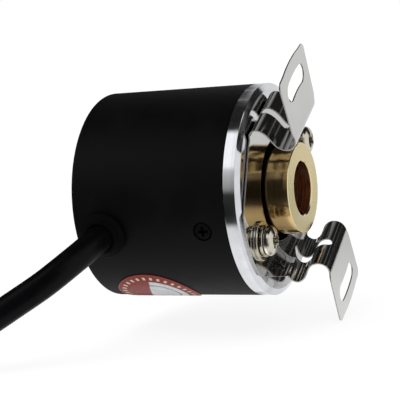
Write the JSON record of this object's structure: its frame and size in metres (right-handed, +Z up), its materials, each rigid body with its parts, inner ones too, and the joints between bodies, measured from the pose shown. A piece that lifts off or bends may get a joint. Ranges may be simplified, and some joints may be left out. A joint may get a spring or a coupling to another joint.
{
  "type": "rotary encoder",
  "caption": "Hollow-shaft rotary encoder: black round can, bright flange, brass hollow shaft, bent anti-rotation spring plate with slotted tabs, cable leaving the side.",
  "frame": {"origin": "on the shaft axis, 0.3 mm behind the plane of the flange's front face, inside the bore of the hollow shaft", "axes": "+X along the shaft, out of its open end; +Z up; the cable leaves towards -Y near the rear"},
  "size_m": [0.1385, 0.0697, 0.0509],
  "materials": {
    "can_black": "satin black coating on aluminium",
    "flange_aluminium": "turned and polished",
    "spring_stainless": "bright rolled stainless spring sheet",
    "screw_nickel": "nickel plated steel",
    "brass": "turned brass",
    "bearing_steel": "ground bearing steel",
    "black_steel": "black oxide steel",
    "rubber_black": "matt",
    "cable_sheath": "satin soft PVC",
    "board_green": "solder resist on glass-fibre board",
    "chip_black": "moulded",
    "clear_glass": "clear",
    "plastic_natural": "moulded",
    "sticker_face": "printed film, plain ring",
    "aluminium_plain": "machined",
    "lead_red": "wire insulation",
    "lead_black": "wire insulation",
    "lead_green": "wire insulation",
    "lead_white": "wire insulation"
  },
  "bodies": {
    "housing": {"cover_can": "can_black", "front_flange": "flange_aluminium", "spring_plate": "spring_stainless", "plate_screw_upper": "screw_nickel", "plate_screw_lower": "screw_nickel", "lock_washer_upper": "screw_nickel", "lock_washer_lower": "screw_nickel", "flat_washer_upper": "screw_nickel", "flat_washer_lower": "screw_nickel", "cover_screw_1": "screw_nickel", "cover_screw_2": "screw_nickel", "cover_screw_3": "screw_nickel", "cover_o_ring": "rubber_black", "shaft_seal": "rubber_black", "front_bearing_outer_ring": "bearing_steel", "rear_bearing_outer_ring": "bearing_steel", "bearing_spacer": "aluminium_plain", "wave_washer": "bearing_steel", "retaining_ring": "black_steel", "led_holder": "chip_black", "led_emitter": "clear_glass", "reticle": "clear_glass", "photo_sensor": "chip_black", "main_board": "board_green", "board_stud_1": "brass", "board_stud_2": "brass", "board_stud_3": "brass", "board_nut_1": "screw_nickel", "board_nut_2": "screw_nickel", "board_nut_3": "screw_nickel", "signal_chip": "chip_black", "smoothing_capacitor": "aluminium_plain", "lead_connector": "plastic_natural", "inner_lead_bundle": "plastic_natural", "cable_grommet": "rubber_black", "cable_clamp": "black_steel", "cable": "cable_sheath", "cable_coil": "cable_sheath", "coil_tie_a": "chip_black", "coil_tie_b": "chip_black", "lead_red": "lead_red", "lead_black": "lead_black", "lead_green": "lead_green", "lead_white": "lead_white", "round_sticker": "sticker_face"},
    "rotor": {"hollow_shaft": "brass", "set_screw_a": "black_steel", "set_screw_b": "black_steel", "front_bearing_inner_ring": "bearing_steel", "rear_bearing_inner_ring": "bearing_steel", "disc_hub": "aluminium_plain", "code_disc": "clear_glass", "disc_clamp_ring": "aluminium_plain"},
    "front_balls": {"front_ball_cage": "bearing_steel"},
    "rear_balls": {"rear_ball_cage": "bearing_steel"}
  },
  "joints": [
    {"name": "shaft_spin", "type": "hinge", "parent": "housing", "child": "rotor", "pos_m": [0, 0, 0], "axis": [1, 0, 0], "continuous": true},
    {"name": "front_balls_spin", "type": "hinge", "parent": "housing", "child": "front_balls", "pos_m": [-0.00575, 0, 0], "axis": [1, 0, 0], "continuous": true},
    {"name": "rear_balls_spin", "type": "hinge", "parent": "housing", "child": "rear_balls", "pos_m": [-0.01425, 0, 0], "axis": [1, 0, 0], "continuous": true}
  ],
  "couplings": [
    {"joint": "front_balls_spin", "follows": "shaft_spin", "ratio": 0.4622},
    {"joint": "rear_balls_spin", "follows": "shaft_spin", "ratio": 0.4622}
  ]
}
